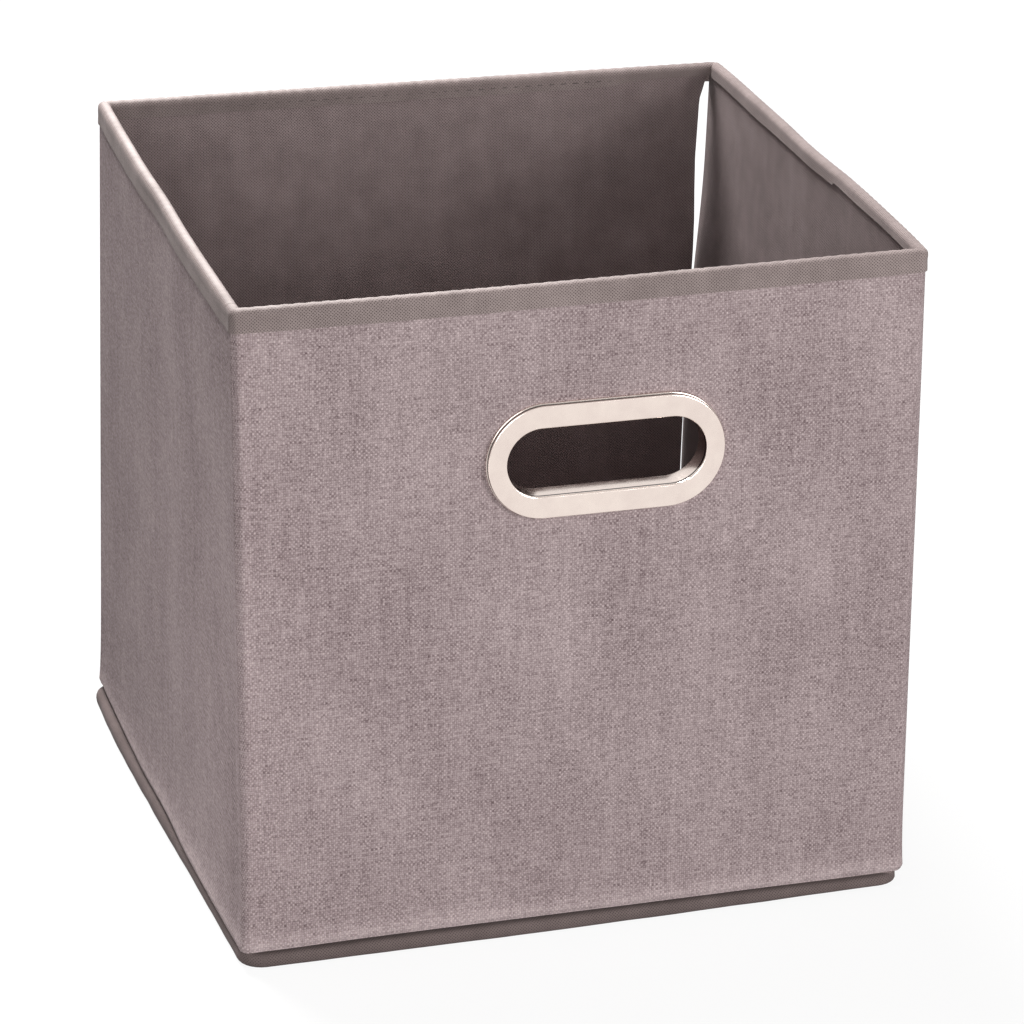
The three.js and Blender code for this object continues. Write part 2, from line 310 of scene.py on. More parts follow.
# ---------------------------------------------------------------- materials
class Shade:
    """A node material, with one short call for each node."""

    def __init__(self, name, roughness, metallic=0.0):
        self.material = bpy.data.materials.new(name)
        self.material.use_nodes = True
        self.tree = self.material.node_tree
        self.surface = self.tree.nodes["Principled BSDF"]
        self.surface.inputs["Roughness"].default_value = roughness
        self.surface.inputs["Metallic"].default_value = metallic

    def add(self, kind, sockets=None, **settings):
        node = self.tree.nodes.new(kind)
        for key, value in settings.items():
            setattr(node, key, value)
        for key, value in (sockets or {}).items():
            if isinstance(value, bpy.types.NodeSocket):
                self.tree.links.new(value, node.inputs[key])
            else:
                node.inputs[key].default_value = value
        return node

    def math(self, operation, a, b=0.0, c=0.0):
        return self.add("ShaderNodeMath", {0: a, 1: b, 2: c}, operation=operation).outputs[0]

    def mix(self, share, a, b):
        node = self.add("ShaderNodeMix", data_type="RGBA")
        for socket, value in ((node.inputs[0], share), (node.inputs[6], a), (node.inputs[7], b)):
            if isinstance(value, bpy.types.NodeSocket):
                self.tree.links.new(value, socket)
            else:
                socket.default_value = value
        return node.outputs[2]

    def scaled(self, vector, x, y, z=0.0):
        return self.add("ShaderNodeVectorMath", {0: vector, 1: (x, y, z)}, operation="MULTIPLY").outputs[0]

    def noise(self, vector, detail=2.0, roughness=0.5):
        sockets = {"Vector": vector, "Scale": 1.0, "Detail": detail, "Roughness": roughness}
        return self.add("ShaderNodeTexNoise", sockets).outputs["Fac"]

    def spread(self, value, low, high, to_low=0.0, to_high=1.0):
        sockets = {"Value": value, "From Min": low, "From Max": high, "To Min": to_low, "To Max": to_high}
        return self.add("ShaderNodeMapRange", sockets).outputs[0]

    def cloth_coordinates(self):
        return self.add("ShaderNodeUVMap", uv_map=UV_NAME).outputs[0]

    def object_coordinates(self):
        return self.add("ShaderNodeTexCoord").outputs["Object"]

    def link(self, value, socket):
        self.tree.links.new(value, self.surface.inputs[socket])

    def bump(self, height, distance, strength=1.0):
        sockets = {"Height": height, "Distance": distance, "Strength": strength}
        self.link(self.add("ShaderNodeBump", sockets).outputs[0], "Normal")


def srgb(red, green, blue):
    """A colour written as 11 to 255 on screen, as the linear colour a shader takes."""
    return tuple(((c / 255 + 0.055) / 1.055) ** 2.4 for c in (red, green, blue)) + (1.0,)


def woven_cloth():
    """Linen-look plain weave: each yarn has its own tone that drifts along it, crossings go over and under,
    and the lower edge is lightened by a painted highlight."""
    shade = Shade("woven_cloth", 0.88)
    uv = shade.cloth_coordinates()
    wander = shade.noise(shade.scaled(uv, 130, 130), 1.0)
    shift = shade.math("MULTIPLY", wander, 1.2 * MM)
    bent = shade.add("ShaderNodeVectorMath", {0: uv, 1: shift}, operation="ADD")
    split = shade.add("ShaderNodeSeparateXYZ", {0: bent.outputs[0]}).outputs
    warp_at = shade.math("MULTIPLY", split[0], 1 / (1.0 * MM))
    weft_at = shade.math("MULTIPLY", split[1], 1 / (1.08 * MM))
    warp = yarn_tone(shade, warp_at, split[1], 3.1)
    weft = yarn_tone(shade, weft_at, split[0], 7.7)
    over = shade.math("MULTIPLY", shade.math("SINE", shade.math("MULTIPLY", warp_at, math.pi)),
                      shade.math("SINE", shade.math("MULTIPLY", weft_at, math.pi)))
    share = shade.spread(over, -0.25, 0.25)
    woven = shade.math("MULTIPLY_ADD", share, shade.math("SUBTRACT", warp, weft), weft)
    grain = shade.noise(shade.scaled(uv, 700, 700), 3.0, 0.8)
    broad = shade.noise(shade.scaled(uv, 16, 10), 2.0, 0.5)
    slubs = shade.noise(shade.scaled(uv, 240, 16), 2.0, 0.5)
    tone = shade.math("MULTIPLY_ADD", shade.math("SUBTRACT", woven, 0.5), 0.82, 0.48)
    tone = shade.math("MULTIPLY_ADD", over, 0.13, tone)
    tone = shade.math("MULTIPLY_ADD", shade.math("SUBTRACT", shade.math("ABSOLUTE", over), 0.4), 0.22, tone)
    for layer, weight in ((grain, 1.15), (broad, 0.4), (slubs, 0.2)):
        tone = shade.math("MULTIPLY_ADD", shade.math("SUBTRACT", layer, 0.5), weight, tone)
    # painted highlight: the lowest 11 mm of the cloth is lightened, as if light caught its rolled lower edge
    tone = shade.math("ADD", tone, shade.spread(split[1], WALL_BOTTOM, WALL_BOTTOM + 11 * MM, 0.24, 0.0))
    colour = shade.mix(shade.spread(tone, 0.05, 0.95), srgb(100, 82, 84), srgb(207, 189, 189))
    shade.link(colour, "Base Color")
    height = shade.math("MULTIPLY_ADD", shade.math("ABSOLUTE", over), 0.5, shade.math("ADD", woven, grain))
    shade.bump(height, 0.3 * MM, 0.5)
    shade.surface.inputs["Sheen Weight"].default_value = 0.03
    shade.surface.inputs["Sheen Roughness"].default_value = 0.5
    shade.surface.inputs["Specular IOR Level"].default_value = 0.12
    return shade.material


def yarn_tone(shade, number, along, offset):
    """The tone of the yarn a point is on, which drifts slowly along the yarn."""
    at = shade.add("ShaderNodeCombineXYZ", {
        0: shade.math("MULTIPLY", shade.math("FLOOR", number), 13.7),
        1: shade.math("MULTIPLY", along, 150.0),
        2: offset,
    })
    return shade.noise(at.outputs[0], 2.0, 0.55)


def nonwoven(name, dark, light, pitch, sheen, crown=None):
    """Point-bonded non-woven: staggered pressed dots between soft matted fibres.
    A tape gets a painted highlight along its crown, most on the left wall, and painted shade on the leg
    inside."""
    shade = Shade(name, 0.82)
    uv = shade.cloth_coordinates()
    split = shade.add("ShaderNodeSeparateXYZ", {0: uv}).outputs
    rows = 2 * math.pi / pitch
    wave_u = shade.math("COSINE", shade.math("MULTIPLY", split[0], rows))
    wave_v = shade.math("COSINE", shade.math("MULTIPLY", split[1], rows))
    dots = shade.spread(shade.math("MULTIPLY", wave_u, wave_v), 0.25, 0.85)
    fibres = shade.noise(shade.scaled(uv, 1500, 1500), 3.0, 0.7)
    cloud = shade.noise(shade.scaled(uv, 60, 60), 3.0, 0.6)
    broad = shade.noise(shade.scaled(uv, 12, 8), 2.0, 0.5)
    streaks = shade.noise(shade.scaled(uv, 110, 22), 3.0, 0.6)
    tone = shade.math("MULTIPLY_ADD", dots, -0.62, 0.68)
    for layer, weight in ((fibres, 0.6), (cloud, 0.4), (broad, 0.4), (streaks, 0.22)):
        tone = shade.math("MULTIPLY_ADD", shade.math("SUBTRACT", layer, 0.5), weight, tone)
    colour = shade.mix(shade.spread(tone, 0.1, 0.9), dark, light)
    if crown:
        # painted highlight along the tape's crown, strongest on the left wall and varied by a cloud noise
        from_crown = shade.math("ABSOLUTE", shade.math("SUBTRACT", split[1], crown))
        turn = shade.math("MULTIPLY_ADD", split[0], math.pi / 2 / SIDE, -1.75 * math.pi)
        crown_highlight_share = shade.math("MULTIPLY_ADD", shade.math("COSINE", turn), 0.36, 0.24)
        crown_highlight_share = shade.math("MULTIPLY", crown_highlight_share, shade.spread(cloud, 0.3, 0.7, 0.7, 1.2))
        painted_crown_highlight = shade.math("MULTIPLY", shade.spread(from_crown, 0.7 * MM, 2.4 * MM, 1.0, 0.0), crown_highlight_share)
        # painted shade: the tape's leg inside the bin is darkened towards a dark brown
        inside = shade.spread(split[1], crown + 3 * MM, crown + 5 * MM, 0.0, 0.34)
        colour = shade.mix(painted_crown_highlight, colour, srgb(214, 203, 199))
        colour = shade.mix(inside, colour, srgb(54, 46, 45))
    shade.link(colour, "Base Color")
    shade.link(shade.spread(dots, 0.0, 1.0, 0.85, 0.55), "Roughness")
    height = shade.math("SUBTRACT", shade.math("MULTIPLY", fibres, 0.4), dots)
    shade.bump(height, 0.22 * MM, 0.6)
    shade.surface.inputs["Sheen Weight"].default_value = sheen
    shade.surface.inputs["Sheen Roughness"].default_value = 0.45
    shade.surface.inputs["Specular IOR Level"].default_value = 0.15
    return shade.material


def stiffener():
    """Grey-brown pulp board with flecks."""
    shade = Shade("stiffener_board", 0.9)
    at = shade.object_coordinates()
    flecks = shade.noise(shade.scaled(at, 900, 900, 900), 4.0, 0.7)
    broad = shade.noise(shade.scaled(at, 40, 40, 40), 2.0, 0.5)
    tone = shade.math("MULTIPLY_ADD", broad, 0.3, shade.math("MULTIPLY", flecks, 0.7))
    colour = shade.mix(shade.spread(tone, 0.3, 0.7), srgb(124, 104, 82), srgb(176, 152, 124))
    shade.link(colour, "Base Color")
    shade.bump(flecks, 0.1 * MM, 0.5)
    return shade.material


def nickel():
    """Warm polished nickel plate with faint handling marks, and painted shade in the groove of its edge."""
    shade = Shade("nickel_plate", 0.16, 1.0)
    at = shade.object_coordinates()
    haze = shade.noise(shade.scaled(at, 90, 90, 90), 3.0, 0.6)
    marks = shade.noise(shade.scaled(at, 120, 900, 2600), 2.0, 0.6)
    tone = shade.spread(haze, 0.35, 0.7)
    plate = shade.mix(tone, srgb(226, 211, 203), srgb(234, 220, 211))
    depth = shade.add("ShaderNodeSeparateXYZ", {0: at}).outputs[1]
    off_line = shade.math("ABSOLUTE", shade.math("SUBTRACT", depth, GROOVE_Y))
    # painted shade: a dark band along the groove between the ring's face and the bead
    painted_groove_shade = shade.spread(off_line, 0.5 * MM, 0.75 * MM, 0.9, 0.0)
    shade.link(shade.mix(painted_groove_shade, plate, srgb(52, 44, 42)), "Base Color")
    shade.link(shade.spread(marks, 0.3, 0.8, 0.1, 0.24), "Roughness")
    shade.bump(haze, 0.05 * MM, 0.25)
    return shade.material


def thread():
    """Twisted polyester sewing thread."""
    shade = Shade("sewing_thread", 0.7)
    uv = shade.cloth_coordinates()
    split = shade.add("ShaderNodeSeparateXYZ", {0: uv}).outputs
    around = shade.math("MULTIPLY", split[1], 6.28)
    twist = shade.math("SINE", shade.math("MULTIPLY_ADD", split[0], 9000.0, around))
    tone = shade.spread(twist, -1.0, 1.0)
    shade.link(shade.mix(tone, srgb(56, 47, 46), srgb(98, 86, 84)), "Base Color")
    shade.bump(tone, 0.06 * MM, 0.6)
    shade.surface.inputs["Sheen Weight"].default_value = 0.2
    return shade.material


CLOTH = woven_cloth()
LINING = nonwoven("nonwoven_lining", srgb(74, 62, 61), srgb(156, 141, 140), 1.5 * MM, 0.03)
TAPE = nonwoven("binding_tape", srgb(82, 71, 69), srgb(166, 151, 148), 1.5 * MM, 0.06, 12.3 * MM)
SEAM = nonwoven("base_seam_tape", srgb(66, 56, 54), srgb(126, 112, 110), 1.5 * MM, 0.03)
BOARD = stiffener()
NICKEL = nickel()
THREAD = thread()


# ---------------------------------------------------------------- the walls, piece by piece
def wall_plan():
    """Each panel and hinge strip: its name, where it starts and ends round the walls, and its bodies."""
    corner, crease = CORNER_LEG, CREASE_HALF
    right, left = 1.5 * SIDE, 3.5 * SIDE
    panels = [
        ("front", corner, SIDE - corner, ["front_and_base"]),
        ("right_front", SIDE + corner, right - crease, ["right_front_half"]),
        ("right_rear", right + crease, 2 * SIDE - 0.9 * MM, ["right_rear_half"]),
        ("back", 2 * SIDE + SLIT_EDGE, 3 * SIDE - corner, ["back_wall"]),
        ("left_rear", 3 * SIDE + corner, left - crease, ["left_rear_half"]),
        ("left_front", left + crease, 4 * SIDE - corner, ["left_front_half"]),
    ]
    hinges = [
        ("front_left_corner", -corner, corner, ["left_front_half", "front_and_base"]),
        ("front_right_corner", SIDE - corner, SIDE + corner, ["front_and_base", "right_front_half"]),
        ("right_crease", right - crease, right + crease, ["right_front_half", "right_rear_half"]),
        ("back_left_corner", 3 * SIDE - corner, 3 * SIDE + corner, ["back_wall", "left_rear_half"]),
        ("left_crease", left - crease, left + crease, ["left_rear_half", "left_front_half"]),
    ]
    return panels, hinges


PANELS, HINGES = wall_plan()


def fasten(thing, bodies):
    """Rides a piece on its body; a piece between two bodies gets its transform baked into its mesh and rides
    on none.
    """
    if len(bodies) == 1:
        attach(thing, bodies[0])
        return
    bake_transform(thing)


def cut_width(u0, u1, inset, radius):
    """How long a layer is round its own path, which is shorter inside a corner than outside it."""
    x, y = outline(along_wall(u0, u1), inset, radius)
    return float(np.hypot(np.diff(x), np.diff(y)).sum())


def stadium_radius(x, z, half_length, half_height):
    """How far a point of the front is outside the hand slot's outline, or inside it below 0, and the nearest
    point on the outline."""
    straight = half_length - half_height
    dx = x - RING_CENTRE.x
    nearest = np.clip(dx, -straight, straight)
    away = np.hypot(dx - nearest, z - RING_CENTRE.z) + 1e-9
    share = half_height / away
    snapped_x = RING_CENTRE.x + nearest + (dx - nearest) * share
    snapped_z = RING_CENTRE.z + (z - RING_CENTRE.z) * share
    return away - half_height, snapped_x, snapped_z


def cut_hand_slot(u, z, faces):
    """Drops the faces inside the eyelet's hole and draws the rest up to its outline."""
    half_length = OPENING_HALF_LENGTH - OPENING_HALF_HEIGHT + HOLE_RADIUS
    outside, snapped_x, snapped_z = stadium_radius(u - HALF, z, half_length, HOLE_RADIUS)
    keep = (outside[faces] > -0.6 * MM).all(1)
    kept = faces[keep]
    dropped = np.unique(faces[~keep])
    edge = np.intersect1d(dropped, np.unique(kept))
    u, z = u.copy(), z.copy()
    u[edge] = snapped_x[edge] + HALF
    z[edge] = snapped_z[edge]
    return u, z, kept


def slit_edge(u, z):
    """The back wall's unsewn end as it hangs: it reaches furthest at the tape, and again half way down."""
    heights = np.array([0, 90, 150, 213, 229, 245, 262, 292, 299, 303]) * MM
    reach = np.array([1.4, 2.0, 2.3, 2.1, 1.7, 0.8, 0.1, 0.6, 2.6, 3.4]) * MM
    near = 1 - smooth(np.abs(u - 2 * SIDE - SLIT_EDGE), 0, 30 * MM)
    return u - np.where(u > 2 * SIDE, near * np.interp(z, heights, reach), 0.0)


def wall_sheet(name, u0, u1, z0, z1, depth, thickness, relief, radius, material, slot_cut=False):
    """One layer of the wall as a closed thin sheet, with its relief and its hand slot."""
    us = spaced(u0, u1, SLOT_STEP) if slot_cut else along_wall(u0, u1)
    zs = up_wall(z0, z1, SLOT_STEP if slot_cut else WALL_STEP)
    zz, uu = np.meshgrid(zs, us, indexing="ij")
    u, z = uu.ravel(), zz.ravel()
    faces = grid_faces(len(zs), len(us))
    if slot_cut:
        u, z, faces = cut_hand_slot(u, z, faces)
    if name.startswith("back_") and "corner" not in name:
        u = slit_edge(u, z)
    off = relief(u, z)
    outer = place(u, z, depth - off, radius)
    inner = place(u, z, depth + thickness - off, max(radius - thickness, 0.4 * MM))
    return shell(name, outer, inner, faces, np.stack([u, z], 1), material)


def no_relief(u, z):
    return np.zeros(np.shape(u))


def inward_lining(u, z):
    return -lining_relief(u, z)


def build_walls():
    for name, u0, u1, bodies in PANELS + HINGES:
        hinge = len(bodies) == 2
        slot_cut = name == "front"
        top = WALL_TOP - 0.4 * MM
        cloth = wall_sheet(f"{name}_weave", u0, u1, WALL_BOTTOM, top, CLOTH_FACE, CLOTH_THICKNESS,
                           cloth_relief, 3.2 * MM, CLOTH, slot_cut)
        liner = wall_sheet(f"{name}_liner", u0, u1, WALL_BOTTOM - 1.2 * MM, top, LINING_BACK,
                           LINING_FACE - LINING_BACK, inward_lining, 1.6 * MM, LINING, slot_cut)
        cad_cloth = f"{name}_cloth" if hinge else f"{name}_outer_cloth"
        layers = (
            (cloth, cad_cloth, WALL_BOTTOM, cut_width(u0, u1, CLOTH_FACE, 3.2 * MM)),
            (liner, f"{name}_lining", WALL_BOTTOM - 1.2 * MM, cut_width(u0, u1, LINING_FACE, 1.6 * MM)),
        )
        for thing, node, low, width in layers:
            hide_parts(node)
            fasten(thing, bodies)
        if not hinge:
            inset_0, inset_1 = board_insets(name)
            board = wall_sheet(f"{name}_stiffener", u0 - inset_0, u1 + inset_1,
                               WALL_BOTTOM + BOARD_ABOVE_CLOTH, top, BOARD_FACE, BOARD_THICKNESS,
                               no_relief, 0.4 * MM, BOARD, slot_cut)
            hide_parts(f"{name}_board")
            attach(board, bodies[0])


def board_insets(name):
    """How far a board runs on past its panel at each end: to a corner, a crease, or not at the slit."""
    to_corner = CORNER_LEG - ENVELOPE - 0.6 * MM
    to_crease = CREASE_HALF - 1.2 * MM
    at_slit = -1.0 * MM
    return {
        "front": (to_corner, to_corner),
        "right_front": (to_corner, to_crease),
        "right_rear": (to_crease, at_slit),
        "back": (at_slit, to_corner),
        "left_rear": (to_corner, to_crease),
        "left_front": (to_crease, to_corner),
    }[name]


# ---------------------------------------------------------------- rim tape and its stitching
def tape_profile(offset):
    """The tape's section over the rim as (depth, height), from the foot outside to the foot inside."""
    top_radius = 2.5 * MM
    low, high = offset, ENVELOPE - offset
    radius = top_radius - offset
    crown = HEIGHT - offset
    points = [(low, z) for z in spaced(TAPE_FOOT_OUTSIDE, crown - radius, 0.9 * MM)]
    for angle in np.linspace(0, math.pi / 2, 7)[1:]:
        points.append((low + radius * (1 - math.cos(angle)), crown - radius + radius * math.sin(angle)))
    for angle in np.linspace(math.pi / 2, 0, 7):
        points.append((high - radius * (1 - math.cos(angle)), crown - radius + radius * math.sin(angle)))
    points += [(high, z) for z in spaced(crown - radius, HEIGHT - 8.4 * MM, 0.9 * MM)[1:]]
    return np.array(points)


def tape_shape(u, depth, z):
    """Depth and height of the tape after its stitches pull it in and its free edge lifts away."""
    wall, t = wall_of(u)
    outside = depth < ENVELOPE / 2
    stitch_z = HEIGHT - STITCH_BELOW_RIM
    beat = 0.5 + 0.5 * np.cos(u * 2 * math.pi / STITCH_PITCH)
    pull = 0.6 * bell(z, stitch_z, 1.1 * MM) * (0.55 + 0.45 * beat) * np.where(outside, 0.3, 1.0)
    lift = smooth(stitch_z - z, 0.3 * MM, 4 * MM) * (0.25 + 0.5 * ripple(u, z * 0, 34 * MM, 21))
    lift = lift * np.where(outside, 0.3, 1.0)
    past_overlap = smooth(-t, 36.8 * MM, 37.2 * MM)
    narrow = np.where(wall == 2, smooth(-t, 92 * MM, 120 * MM), 0)
    narrow = np.where(wall == 1, 0.75 + 0.6 * past_overlap, narrow)
    narrow = np.where(outside, 0, narrow)
    low_wave = (0.5 * ripple(u, z * 0, 45 * MM, 22) - 0.25) * smooth(stitch_z - z, 1 * MM, 4 * MM)
    crown_wave = (0.3 * ripple(u, z * 0, 60 * MM, 23) + 0.22 * beat - 0.35) * smooth(z, stitch_z, HEIGHT)
    out = (lift - pull - np.where(outside, 0.3 * smooth(stitch_z - z, -2 * MM, 3 * MM), 0)) * MM
    cloth = cloth_relief(u, z) * smooth(HEIGHT - z, 2 * MM, 6 * MM)
    lining = lining_relief(u, z) * smooth(HEIGHT - z, 2 * MM, 6 * MM)
    depth = np.where(outside, depth - out - cloth, depth + out + lining)
    z = z + (low_wave + crown_wave) * MM + narrow * 2.6 * MM * smooth(stitch_z - z, 0, 3 * MM)
    return depth, z


# how much further the tape runs than its panel, at its first and last end, at the slit
TAPE_SPANS = {
    "right_rear": (0.0, -2.6 * MM),
    "back": (-SLIT_EDGE, 0.0),
}


def build_tape():
    outer_profile, inner_profile = tape_profile(0.0), tape_profile(TAPE_THICKNESS)
    run = np.concatenate([[0], np.cumsum(np.hypot(*np.diff(outer_profile, axis=0).T))])
    for name, u0, u1, bodies in PANELS + HINGES:
        more_0, more_1 = TAPE_SPANS.get(name, (0.0, 0.0))
        us = tape_stations(u0 + more_0, u1 + more_1)
        layers = []
        for profile, radius in ((outer_profile, 3.2 * MM), (inner_profile, 2.6 * MM)):
            uu = np.broadcast_to(us, (len(profile), len(us)))
            depth = np.broadcast_to(profile[:, :1], uu.shape)
            height = np.broadcast_to(profile[:, 1:], uu.shape)
            depth, height = tape_shape(uu, depth, height)
            corner = np.where(depth > ENVELOPE / 2, 1.2 * MM, radius)
            layers.append(place(uu, height, depth, corner))
        uvs = np.stack([np.broadcast_to(us, (len(run), len(us))).ravel(), np.repeat(run, len(us))], 1)
        faces = grid_faces(len(run), len(us))
        tape = shell(f"{name}_binding", layers[0], layers[1], faces, uvs, TAPE)
        if len(bodies) == 1:
            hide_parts(f"{name}_rim_tape")
        fasten(tape, bodies)
        outside = cut_width(us[0], us[-1], 0.0, 3.2 * MM)
        inside = cut_width(us[0], us[-1], ENVELOPE, 1.2 * MM)


def tape_stations(u0, u1):
    """Stations along the tape, six to a stitch, and closer together at a corner."""
    fine = spaced(u0, u1, STITCH_PITCH / 5)
    corners = [c for c in np.arange(-1, 5) * SIDE if u0 - 1e-6 <= c <= u1 + 1e-6]
    for corner in corners:
        close = corner + np.linspace(-5 * MM, 5 * MM, 21)
        close = close[(close > u0) & (close < u1)]
        fine = np.concatenate([fine[np.abs(fine - corner) > 5.4 * MM], close])
    return np.unique(np.round(fine, 7))


def stitch(centre_u):
    """One stitch inside the rim: a short round thread that dives into the tape at both ends."""
    length, thickness = 4.3 * MM, 0.42 * MM
    steps, round_steps = 9, 6
    share = np.linspace(-1, 1, steps)
    u = centre_u + share * length / 2
    z = np.full(steps, HEIGHT - STITCH_BELOW_RIM)
    depth, z = tape_shape(u, np.full(steps, ENVELOPE), z)
    rise = (0.34 * (1 - share**4) - 0.3) * MM
    radius = thickness * np.sqrt(np.clip(1 - share**6, 0.05, 1))
    rings = []
    for k in range(round_steps):
        angle = 2 * math.pi * k / round_steps
        ring_depth = depth + rise + radius * math.cos(angle)
        rings.append(place(u, z + radius * math.sin(angle), ring_depth, 1.2 * MM))
    points = np.stack(rings, 1).reshape(-1, 3)
    uvs = np.stack([np.repeat(u, round_steps), np.tile(np.arange(round_steps) / round_steps, steps)], 1)
    faces = []
    for i in range(steps - 1):
        for k in range(round_steps):
            a, b = i * round_steps + k, i * round_steps + (k + 1) % round_steps
            faces.append((a + round_steps, b + round_steps, b, a))
    first = tuple(range(round_steps))
    last = tuple(range((steps - 1) * round_steps, steps * round_steps))
    faces += [first, last[::-1]]
    return points, faces, uvs


def build_stitches():
    for name, u0, u1, bodies in PANELS:
        low, high = u0 - 0.5 * STITCH_PITCH, u1 + 0.5 * STITCH_PITCH
        if name == "back":
            low = u0 + 1 * MM
        if name == "right_rear":
            high = u1 - 4 * MM
        first = math.ceil(low / STITCH_PITCH)
        last = math.floor(high / STITCH_PITCH)
        points, faces, uvs, count = [], [], [], 0
        for number in range(first, last):
            some_points, some_faces, some_uvs = stitch((number + 0.5) * STITCH_PITCH)
            faces += [tuple(i + count for i in face) for face in some_faces]
            points.append(some_points)
            uvs.append(some_uvs)
            count += len(some_points)
        row = make_object(f"{name}_rim_stitches", np.vstack(points), faces, np.vstack(uvs), [THREAD])
        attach(row, bodies[0])


# ---------------------------------------------------------------- base
def base_outline(count, half, radius, centre):
    """A rounded square round the base, as points and outward directions."""
    steps = np.linspace(0, 4, count, endpoint=False)
    points, normals = [], []
    straight = 2 * (half - radius)
    arc = math.pi * radius / 2
    side = straight + arc
    for step in steps:
        quarter = int(step)
        s = (step - quarter) * side
        if s < straight:
            local, normal = (-straight / 2 + s, -half), (0.0, -1.0)
        else:
            a = (s - straight) / radius
            local = (straight / 2 + radius * math.sin(a), -(half - radius) - radius * math.cos(a))
            normal = (math.sin(a), -math.cos(a))
        turn = quarter * math.pi / 2
        c, n = math.cos(turn), math.sin(turn)
        points.append((centre[0] + local[0] * c - local[1] * n, centre[1] + local[0] * n + local[1] * c))
        normals.append((normal[0] * c - normal[1] * n, normal[0] * n + normal[1] * c))
    return np.array(points), np.array(normals), 4 * side


SEAM_CENTRE = (-0.9 * MM, 0.0)
SEAM_RADIUS = 11 * MM


def build_base_seam():
    """The bound seam: a soft roll under the walls, tucked in at the top, so a dark line shows above it."""
    count = 480
    plan, normals, length = base_outline(count, HALF - 0.2 * MM, SEAM_RADIUS, SEAM_CENTRE)
    run = np.arange(count) / count * length
    section = [(-5.2, 0.6), (-3.0, 0.0), (-1.6, 0.0), (-0.5, 0.4), (0.1, 1.2), (0.35, 2.6), (0.25, 4.2),
               (-0.2, 5.4), (-1.1, 6.2), (-2.4, 6.5), (-4.4, 6.7), (-5.6, 6.4), (-6.0, 5.0), (-6.0, 2.4)]
    swell = 0.5 * ripple(run, run * 0, 55 * MM, 31) + 0.25 * ripple(run, run * 0, 19 * MM, 32) - 0.35
    rows = []
    for out, height in section:
        share = smooth(np.array(out), -3.0, 0.0)
        reach = (out + swell * share) * MM
        outer_part = smooth(np.array(out), -6.5, -3.0)
        lift = (height + 0.35 * (ripple(run, run * 0, 80 * MM, 33) - 0.5) * (height > 4)) * MM
        x, y = plan.T
        frontward = smooth(-y, 0.5 * HALF, HALF)
        rearward = smooth(y, -HALF, 0.5 * HALF) * (1 - 0.4 * smooth(y, 0.6 * HALF, HALF))
        curl = 2.0 * MM * smooth(x, 0, HALF) * frontward * smooth(np.array(out), -4.0, -1.0)
        at = plan + normals * reach[:, None]
        at[:, 0] -= 3.6 * MM * smooth(-x, 0.3 * HALF, HALF) * rearward * outer_part
        at[:, 1] -= 1.4 * MM * outer_part * smooth(-x, -0.5 * HALF, 0.3 * HALF) * frontward
        rows.append(np.column_stack([at, np.maximum(lift, curl)]))
    points = np.array(rows)
    around = len(section)
    faces = []
    for i in range(around):
        for k in range(count):
            j, m = (i + 1) % around, (k + 1) % count
            faces.append((i * count + k, i * count + m, j * count + m, j * count + k))
    steps = np.concatenate([[0], np.cumsum(np.hypot(*np.diff(np.array(section), axis=0).T))]) * MM
    uvs = np.stack([np.tile(run, around), np.repeat(steps, count)], 1)
    flat = lean(points.reshape(-1, 3))
    seam = make_object("base_seam_roll", flat, faces, uvs, [SEAM])
    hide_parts("base_seam_front", "base_seam_back", "base_seam_left", "base_seam_right")
    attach(seam, "front_and_base")
    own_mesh(seam)


def flat_sheet(name, half, z_low, thickness, wave, material, seed, step=5 * MM):
    xs = spaced(-half, half, step)
    yy, xx = np.meshgrid(xs, xs, indexing="ij")
    x, y = xx.ravel(), yy.ravel()
    rise = wave * ripple(x, y, 70 * MM, seed)
    edge = np.minimum(half - np.abs(x), half - np.abs(y))
    soften = smooth(edge, 0, 4 * MM)
    top = np.stack([x, y, z_low + thickness * (0.45 + 0.55 * soften) + rise * soften], 1)
    bottom = np.stack([x, y, z_low + thickness * 0.2 * (1 - soften)], 1)
    return shell(name, top, bottom, grid_faces(len(xs), len(xs)), np.stack([x, y], 1), material)


def build_base_cloth():
    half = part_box("base_cloth")[1].x
    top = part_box("base_cloth")[1].z
    cloth = flat_sheet("base_cloth_sheet", half, 0.0, top, 0.15 * MM, LINING, 41)
    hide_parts("base_cloth")
    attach(cloth, "front_and_base")
    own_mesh(cloth)


def build_insert():
    """The covered board: a flat pillow of lining round the board, with a sewn edge."""
    low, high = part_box("insert_cover")
    half = high.x
    middle = (low.z + high.z) / 2
    flat_half = half - 8 * MM
    xs = np.concatenate([
        spaced(-half, -flat_half, 1 * MM)[:-1],
        spaced(-flat_half, flat_half, 5 * MM),
        spaced(flat_half, half, 1 * MM)[1:],
    ])
    for part, z0, z1 in (("top", middle, high.z), ("underside", middle, low.z)):
        yy, xx = np.meshgrid(xs, xs, indexing="ij")
        x, y = xx.ravel(), yy.ravel()
        edge = np.minimum(half - np.abs(x), half - np.abs(y))
        curve = np.sqrt(np.clip(1 - (1 - np.clip(edge / (3 * MM), 0, 1)) ** 2, 0, 1))
        slack = 0.25 * MM * ripple(x, y, 80 * MM, 51) * smooth(edge, 2 * MM, 20 * MM)
        sign = 1 if part == "top" else -1
        outer_z = z0 + (z1 - z0) * curve + sign * slack
        inner_z = outer_z - sign * 0.5 * MM
        outer, inner = np.stack([x, y, outer_z], 1), np.stack([x, y, inner_z], 1)
        faces = grid_faces(len(xs), len(xs))
        if part == "underside":
            faces = faces[:, ::-1]
        cover = shell(f"insert_cover_{part}", outer, inner, faces, np.stack([x, y], 1), LINING)
        if part == "top":
            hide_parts("insert_cover")
        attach(cover, "base_insert")
    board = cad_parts["insert_board"]
    board.data.materials.clear()
    board.data.materials.append(BOARD)


